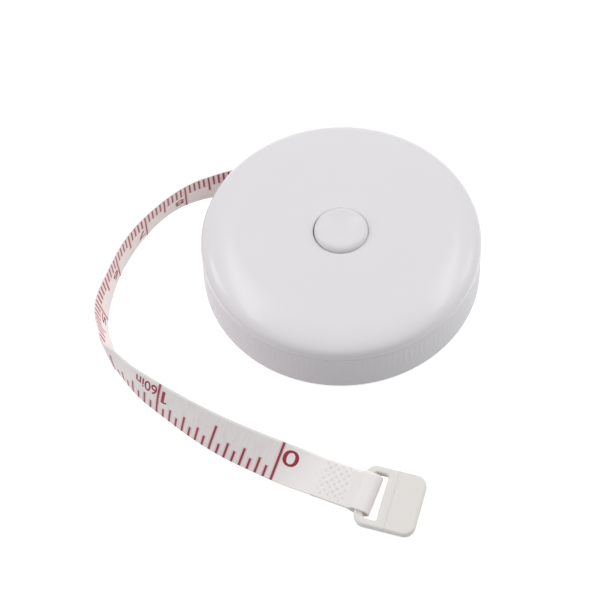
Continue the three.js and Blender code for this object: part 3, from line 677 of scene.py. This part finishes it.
# the button's spring is copied as a piece of its own; the mainspring turns with the reel, so its inner end
# stops short of the post, which stands still
pressSpring = copiedPiece("press_spring", "button_spring")
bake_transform(pressSpring)
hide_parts("button_spring")
woundSpring = copiedPiece("wound_spring", "mainspring")
postClearance = 0.2
springFrom = (lowerCase["post"] + postClearance) * mm
springPlaces = placesOf(woundSpring.data)
springPlaces[:, :2] *= np.maximum(springFrom / np.hypot(*springPlaces[:, :2].T), 1)[:, None]
woundSpring.data.vertices.foreach_set("co", springPlaces.ravel())
woundSpring.data.update()
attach(woundSpring, "reel")
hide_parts("mainspring")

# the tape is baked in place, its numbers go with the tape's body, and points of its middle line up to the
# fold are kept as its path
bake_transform(tapePiece)
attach(numberPiece, "tape")
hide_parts("tape_free")
fold = int(np.argmax(linePoints @ wayAt(tape["hemHeading"])))
pathStep = 4  # stations from one point of the cord's path to the next
cordPath = linePoints[: fold + 1 : pathStep] * mm


# materials
class Signal:
    # a value that varies over a surface; arithmetic on it adds Math nodes
    def __init__(self, tree, socket=None):
        self.tree, self.socket = tree, socket

    def node(self, kind, settings=None, output=0, **sockets):
        # a node of a kind with its settings; a socket is given by its name, or by i and its number
        made = self.tree.nodes.new("ShaderNode" + kind)
        for name, value in (settings or {}).items():
            setattr(made, name, value)
        for name, value in sockets.items():
            key = int(name[1:]) if name[1:].isdigit() else name.replace("_", " ")
            if isinstance(value, Signal):
                self.tree.links.new(value.socket, made.inputs[key])
            else:
                made.inputs[key].default_value = value
        return Signal(self.tree, made.outputs[output])

    def maths(self, operation, first, second=0.0):
        return self.node("Math", {"operation": operation}, i0=first, i1=second)

    def __add__(self, other):
        return self.maths("ADD", self, other)

    def __radd__(self, other):
        return self.maths("ADD", other, self)

    def __sub__(self, other):
        return self.maths("SUBTRACT", self, other)

    def __rsub__(self, other):
        return self.maths("SUBTRACT", other, self)

    def __mul__(self, other):
        return self.maths("MULTIPLY", self, other)

    def __rmul__(self, other):
        return self.maths("MULTIPLY", other, self)

    def __truediv__(self, other):
        return self.maths("DIVIDE", self, other)

    def __mod__(self, other):
        return self.maths("FLOORED_MODULO", self, other)

    def __lt__(self, other):
        return self.maths("LESS_THAN", self, other)

    def __gt__(self, other):
        return self.maths("GREATER_THAN", self, other)

    def __abs__(self):
        return self.maths("ABSOLUTE", self)

    def rounded(self):
        return self.maths("ROUND", self)

    def clipped(self):
        return self.node("Clamp", Value=self)


def newMaterial(name, roughness, metallic=0.0, **constants):
    # a Principled material with its plain values set; gives the material, its shader and a start for maths
    material = bpy.data.materials.new(name)
    material.use_nodes = True
    shader = material.node_tree.nodes["Principled BSDF"]
    shader.inputs["Roughness"].default_value = roughness
    shader.inputs["Metallic"].default_value = metallic
    for key, value in constants.items():
        shader.inputs[key.replace("_", " ")].default_value = value
    return material, shader, Signal(material.node_tree)


def plug(shader, name, signal):
    signal.tree.links.new(signal.socket, shader.inputs[name])


def noiseOf(start, place, scale, detail=2.0, roughness=0.5):
    return start.node("TexNoise", Vector=place, Scale=scale, Detail=detail, Roughness=roughness)


def mixed(start, factor, first, second):
    return start.node("Mix", {"data_type": "RGBA"}, output=2, i0=factor, i6=first, i7=second)


def bumped(start, height, distance, strength=1.0):
    return start.node("Bump", Height=height, Distance=distance, Strength=strength)


def linear(red, green, blue):
    # colour as a picture shows it, 0 to 255, to the shader's linear values
    values = [v / 255 for v in (red, green, blue)]
    return (*[v / 12.92 if v <= 0.04045 else ((v + 0.055) / 1.055) ** 2.4 for v in values], 1.0)


def shaded(colour, share):
    # a colour made darker, or paler by a share above 1
    return [v * share for v in colour[:3]] + [1]


def clouded(shader, start, colour, scale, share, detail=2.0):
    # a base colour that drifts between a shaded one and its own; gives the place and the cloud too
    place = start.node("TexCoord", output=3)
    cloud = noiseOf(start, place, scale, detail)
    shade = linear(*colour)
    plug(shader, "Base Color", mixed(start, cloud, shaded(shade, share), shade))
    return place, cloud


def keptVector(start, name):
    # the vector that setVector keeps at each vertex under this name
    return start.node("Attribute", {"attribute_name": name}, output=1)


mouldings = {
    "moulded_cover": {"colour": (222, 220, 223), "roughness": 0.17, "grain": 0.0000015, "grainScale": 2200},
    "ribbed_case": {"colour": (218, 216, 220), "roughness": 0.42, "grain": 0.000002, "grainScale": 2600},
    "push_button": {"colour": (221, 219, 222), "roughness": 0.26, "grain": 0.0000015, "grainScale": 2200},
    "loop_tab": {"colour": (226, 223, 219), "roughness": 0.45, "grain": 0.000003, "grainScale": 1800},
}
cloudy = {"scale": 45, "darkest": 0.988}  # the faint cloudiness of every moulding
gripLine = {
    # dark and share give the painted shade in the grip's groove
    "from": 5.02, "to": 5.27, "soft": 0.14, "depth": 0.00006, "dark": (0.35, 0.33, 0.32, 1), "share": 0.03,
}


def mouldedPlastic(name, m):
    # white moulding: a faint cloudiness in its colour and a very fine grain
    material, shader, start = newMaterial(name + "_plastic", m["roughness"], IOR=1.49)
    place, _ = clouded(shader, start, m["colour"], cloudy["scale"], cloudy["darkest"])
    grain = noiseOf(start, place, m["grainScale"])
    plug(shader, "Normal", bumped(start, grain, m["grain"]))
    return material, shader, start, grain


def addGripLine(shader, start, grain, m, g):
    # the fine groove across the tab's grip, with painted shade that makes it a hair darker than the plastic
    along = start.node("SeparateXYZ", Vector=keptVector(start, "tabPlace"))
    begun = ((along - g["from"]) / g["soft"]).clipped()
    groove = begun * ((g["to"] + g["soft"] - along) / g["soft"]).clipped()
    shade = linear(*m["colour"])
    # painted shade in the groove
    plug(shader, "Base Color", mixed(start, groove * g["share"], shade, g["dark"]))
    plug(shader, "Normal", bumped(start, grain * (m["grain"] / g["depth"]) - groove, g["depth"]))


def dress(mesh, material):
    mesh.materials.clear()
    mesh.materials.append(material)


for piece in (coverPiece, lowerPiece, buttonPiece, tabPiece):
    settings = mouldings[piece.name]
    material, shader, start, grain = mouldedPlastic(piece.name, settings)
    if piece is tabPiece:
        addGripLine(shader, start, grain, settings, gripLine)
    dress(piece.data, material)

inside = lambda *names: [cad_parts[name].data for name in names]
innerFinishes = {
    "reel_plastic": {
        "meshes": inside("reel_drum", "reel_upper_flange", "mainspring_cover", "brake_disc"),
        "colour": (200, 202, 205), "roughness": 0.5, "metallic": 0,
    },
    "dark_rubber": {"meshes": inside("brake_pad"), "colour": (48, 50, 54), "roughness": 0.85, "metallic": 0},
    "spring_steel": {
        "meshes": [pressSpring.data, woundSpring.data],
        "colour": (170, 172, 176), "roughness": 0.32, "metallic": 1,
    },
    "wound_tape": {"meshes": inside("tape_coil"), "colour": (228, 220, 218), "roughness": 0.5, "metallic": 0},
}
innerGrain = {"cloud": 400, "detail": 3, "darkest": 0.9, "roughen": 0.2, "fine": 2500, "height": 0.00001}
for name, finish in innerFinishes.items():
    material, shader, start = newMaterial(name, finish["roughness"], finish["metallic"])
    scale, darkest, detail = (innerGrain[key] for key in ("cloud", "darkest", "detail"))
    place, cloud = clouded(shader, start, finish["colour"], scale, darkest, detail)
    plug(shader, "Roughness", finish["roughness"] + (cloud - 0.5) * innerGrain["roughen"])
    plug(shader, "Normal", bumped(start, noiseOf(start, place, innerGrain["fine"]), innerGrain["height"]))
    for mesh in finish["meshes"]:
        dress(mesh, material)

# the tape's print and coating: colours as a picture shows them, widths and places in millimetres
coating = {
    "colour": (234, 230, 229), "cloud": 0.8, "cloudDetail": 4, "darkest": 0.975,
    "roughness": 0.42, "roughen": 0.15, "roughScale": 3, "roughDetail": 3,
    # inner: the inner face's colour, partly its own and partly painted light that lifts it out of shade
    "inner": (246, 238, 234), "wash": (255, 226, 228), "washFrom": 0.5, "washOver": 0.12, "washShare": 0.6,
    "streak": (214, 198, 203), "streakScale": 2.8, "streakDetail": 1, "streakStretch": 0.12,
    "streakFrom": 0.45, "streakGain": 2.2, "streakShare": 0.45,
    "rim": (246, 244, 244), "rimWidth": 0.55, "rimOver": 0.25, "rimShare": 0.8,
    "bleed": (238, 182, 190), "bleedWidths": (0.22, 0.2), "bleedPast": 0.02, "bleedSoft": 0.45,
    # shine is the painted glow of the inner face: an emission colour that lifts it out of its shade
    "bleedShare": 0.8, "pit": (200, 184, 182), "pitShare": 0.4, "paintedGlow": (0.1, 0.083, 0.078, 1),
    "ink": (120, 22, 42), "density": 0.88, "densityScale": 14, "ragged": 0.04, "raggedScale": 6,
    "numberInk": (142, 30, 54), "numberRoughness": 0.45, "numberCloud": 3000, "numberPaler": 1.12,
    "inch": 25.4 / 16, "inchEvery": (1, 2, 4, 8, 16), "inchShares": (0.30, 0.42, 0.48, 0.70, 1.0),
    "inchHalves": (0.21, 0.21, 0.21, 0.21, 0.23),
    "centi": 1.0, "centiEvery": (1, 5, 10), "centiShares": (0.40, 0.62, 1.0),
    "centiHalves": (0.175, 0.17, 0.17),
    "soft": 0.05, "endSoft": 0.012, "startAlong": -0.5, "endAlong": 91.5,
    "threads": (0.42, 0.38), "weave": 0.00001, "weaveShare": 0.5, "inkRise": 0.6, "bump": 0.6,
}


def tickMask(start, along, reach, pitch, groups, halves, soft):
    # ticks at every pitch: groups give how many pitches lie between longer ticks, with each length, and
    # halves gives each half width
    count = (along / pitch).rounded()
    away = abs(along - count * pitch)
    length, half = groups[0][1], halves[0]
    for (every, share), wide in zip(groups[1:], halves[1:]):
        isLonger = (count % every) < 0.5
        length = length * (1 - isLonger) + share * isLonger
        half = half * (1 - isLonger) + wide * isLonger
    edge = ((half - away) / soft + 0.5).clipped()
    return edge * ((length - reach) / coating["endSoft"] + 0.5).clipped()


def tapeCoating(c):
    # coated cloth: printed ticks on both faces, a pink bleed round them, weave under the coating and pressed
    # dots; a painted glow, an emission on the inner face, lifts it out of shade as light through cloth would
    material, shader, start = newMaterial(
        "tape_coating_printed", c["roughness"], IOR=1.45, Emission_Strength=1.0,
    )
    place = keptVector(start, "tapePlace")
    split = lambda output: start.node("SeparateXYZ", output=output, Vector=place)
    along, height, side = split(0), split(1), split(2)
    outerFace, innerFace = side > 0.5, side < -0.5
    reach = height / tape["width"]
    inchGroups = list(zip(c["inchEvery"], c["inchShares"]))
    centiGroups = list(zip(c["centiEvery"], c["centiShares"]))
    printed = (along > c["startAlong"]) * (along < c["endAlong"])

    ragged = along + (noiseOf(start, place, c["raggedScale"]) - 0.5) * c["ragged"]
    inchInk = tickMask(start, ragged, reach, c["inch"], inchGroups, c["inchHalves"], c["soft"])
    centiInk = tickMask(start, ragged, 1 - reach, c["centi"], centiGroups, c["centiHalves"], c["soft"])
    ink = (inchInk * outerFace + centiInk * innerFace) * printed

    inchWide = [half + c["bleedWidths"][0] for half in c["inchHalves"]]
    centiWide = [half + c["bleedWidths"][1] for half in c["centiHalves"]]
    past, soft = c["bleedPast"], c["bleedSoft"]
    inchBleed = tickMask(start, along, reach - past, c["inch"], inchGroups, inchWide, soft)
    centiBleed = tickMask(start, along, 1 - past - reach, c["centi"], centiGroups, centiWide, soft)
    bleed = (inchBleed * outerFace + centiBleed * innerFace) * printed

    base = linear(*c["colour"])
    cloud = noiseOf(start, place, c["cloud"], c["cloudDetail"])
    cloth = mixed(start, cloud, shaded(base, c["darkest"]), base)
    # the inner face's paler colour is partly its own and partly painted light that lifts it out of the case's
    # shade
    cloth = mixed(start, innerFace, cloth, linear(*c["inner"]))
    wash = ((reach - c["washFrom"]) / c["washOver"]).clipped() * innerFace
    cloth = mixed(start, wash * c["washShare"], cloth, linear(*c["wash"]))
    stretched = start.node("CombineXYZ", X=along, Y=height * c["streakStretch"])
    streak = noiseOf(start, stretched, c["streakScale"], c["streakDetail"]) - c["streakFrom"]
    streak = (streak * c["streakGain"]).clipped() * outerFace * (along > 0)
    cloth = mixed(start, streak * c["streakShare"], cloth, linear(*c["streak"]))
    rim = ((height - (tape["width"] - c["rimWidth"])) / c["rimOver"]).clipped() * outerFace
    cloth = mixed(start, rim * c["rimShare"], cloth, linear(*c["rim"]))
    cloth = mixed(start, bleed * c["bleedShare"], cloth, linear(*c["bleed"]))
    pit = start.node("SeparateXYZ", Vector=keptVector(start, "tapePit"))
    cloth = mixed(start, pit * c["pitShare"], cloth, linear(*c["pit"]))
    density = c["density"] + noiseOf(start, place, c["densityScale"]) * (1 - c["density"])
    plug(shader, "Base Color", mixed(start, (ink * density).clipped(), cloth, linear(*c["ink"])))

    rougher = (noiseOf(start, place, c["roughScale"], c["roughDetail"]) - 0.5) * c["roughen"]
    plug(shader, "Roughness", c["roughness"] + rougher)
    # painted glow: the inner face emits a little light, away from the ink
    plug(shader, "Emission Color", mixed(start, innerFace * (1 - ink), (0, 0, 0, 1), c["paintedGlow"]))
    warp, weft = (
        start.maths("SINE", way * (2 * math.pi / thread))
        for way, thread in zip((along, height), c["threads"])
    )
    relief = warp * weft * c["weaveShare"] + ink * c["inkRise"]
    plug(shader, "Normal", bumped(start, relief, c["weave"], c["bump"]))
    return material


def numberInk(c):
    # the ink of the printed numbers, a little paler in places
    material, shader, start = newMaterial("printing_ink", c["numberRoughness"])
    clouded(shader, start, c["numberInk"], c["numberCloud"], c["numberPaler"])
    return material


dress(tapePiece.data, tapeCoating(coating))
dress(numberPiece.data, numberInk(coating))
print("materials made")

# floor and light
studio = {
    "sky": 0.37, "floorShade": 0.62, "floorGlow": 0.8,
    "floorRoughness": 0.9, "floorReach": 3.0, "floorDrop": 0.00005,
    "lamps": {
        "overhead": {"place": (0.0, 0.1, 1.0), "size": (0.9, 0.9), "power": 1.0, "mirrored": False},
        "left": {"place": (-0.8, -0.05, 0.45), "size": (0.5, 0.5), "power": 2.3, "mirrored": False},
        "right": {"place": (0.8, 0.0, 0.45), "size": (0.5, 0.5), "power": 1.8, "mirrored": False},
        "leftWindow": {"place": (-0.62, 0.12, 0.75), "size": (0.4, 0.45), "power": 0.8, "mirrored": False},
        "rightWindow": {"place": (0.68, 0.3, 0.62), "size": (0.4, 0.5), "power": 1.7, "mirrored": False},
        "leftStrip": {"place": (-0.36, 0.27, 0.89), "size": (0.74, 0.16), "power": 0.85},
        "rightStrip": {"place": (0.4, 0.28, 0.87), "size": (0.6, 0.13), "power": 0.57},
        "leftBox": {"place": (-0.72, 0.31, 0.6), "size": (0.28, 0.28), "power": 0.6},
        "rightBox": {"place": (0.7, 0.3, 0.65), "size": (0.25, 0.25), "power": 0.3},
    },
}


def seenOf(start):
    # 1 for rays from the camera, in a reflection or through glass, so that these see a white studio
    ray = lambda output: start.node("LightPath", output=output)
    other = start.maths("MAXIMUM", ray("Is Glossy Ray"), ray("Is Transmission Ray"))
    return start.maths("MAXIMUM", ray("Is Camera Ray"), other)


def makeFloor(s):
    # pale floor: it takes the shadow as plain white does, and a glow only for the camera makes it white
    mesh = bpy.data.meshes.new("floor")
    reach, level = s["floorReach"], -s["floorDrop"]
    corners = [(-reach, -reach, level), (reach, -reach, level), (reach, reach, level), (-reach, reach, level)]
    mesh.from_pydata(corners, [], [(0, 1, 2, 3)])
    floor = bpy.data.objects.new("floor", mesh)
    bpy.context.scene.collection.objects.link(floor)
    material, shader, start = newMaterial("floor", s["floorRoughness"])
    shader.inputs["Base Color"].default_value = (s["floorShade"],) * 3 + (1,)
    shader.inputs["Specular IOR Level"].default_value = 0
    shader.inputs["Emission Color"].default_value = (1, 1, 1, 1)
    plug(shader, "Emission Strength", seenOf(start) * s["floorGlow"])
    mesh.materials.append(material)


def makeSky(s):
    # even light from all round, white where it is seen itself
    world = bpy.data.worlds.new("studio")
    bpy.context.scene.world = world
    world.use_nodes = True
    background = world.node_tree.nodes["Background"]
    background.inputs["Color"].default_value = (1, 1, 1, 1)
    strength = s["sky"] + seenOf(Signal(world.node_tree)) * (1 - s["sky"])
    world.node_tree.links.new(strength.socket, background.inputs["Strength"])


def makeLamp(name, place, size, power, mirrored=True):
    # a soft box that points at the object; one that isn't mirrored leaves no highlight
    lamp = bpy.data.lights.new(name, "AREA")
    lamp.shape = "RECTANGLE"
    lamp.size, lamp.size_y = size
    lamp.energy = power
    made = bpy.data.objects.new(name, lamp)
    made.location = place
    made.visible_glossy = mirrored
    made.rotation_euler = (-Vector(place)).to_track_quat("-Z", "Y").to_euler()
    bpy.context.scene.collection.objects.link(made)


makeFloor(studio)
makeSky(studio)
for name, lamp in studio["lamps"].items():
    makeLamp(name, **lamp)
bpy.context.scene.view_settings.view_transform = "Standard"
print("floor and light made")
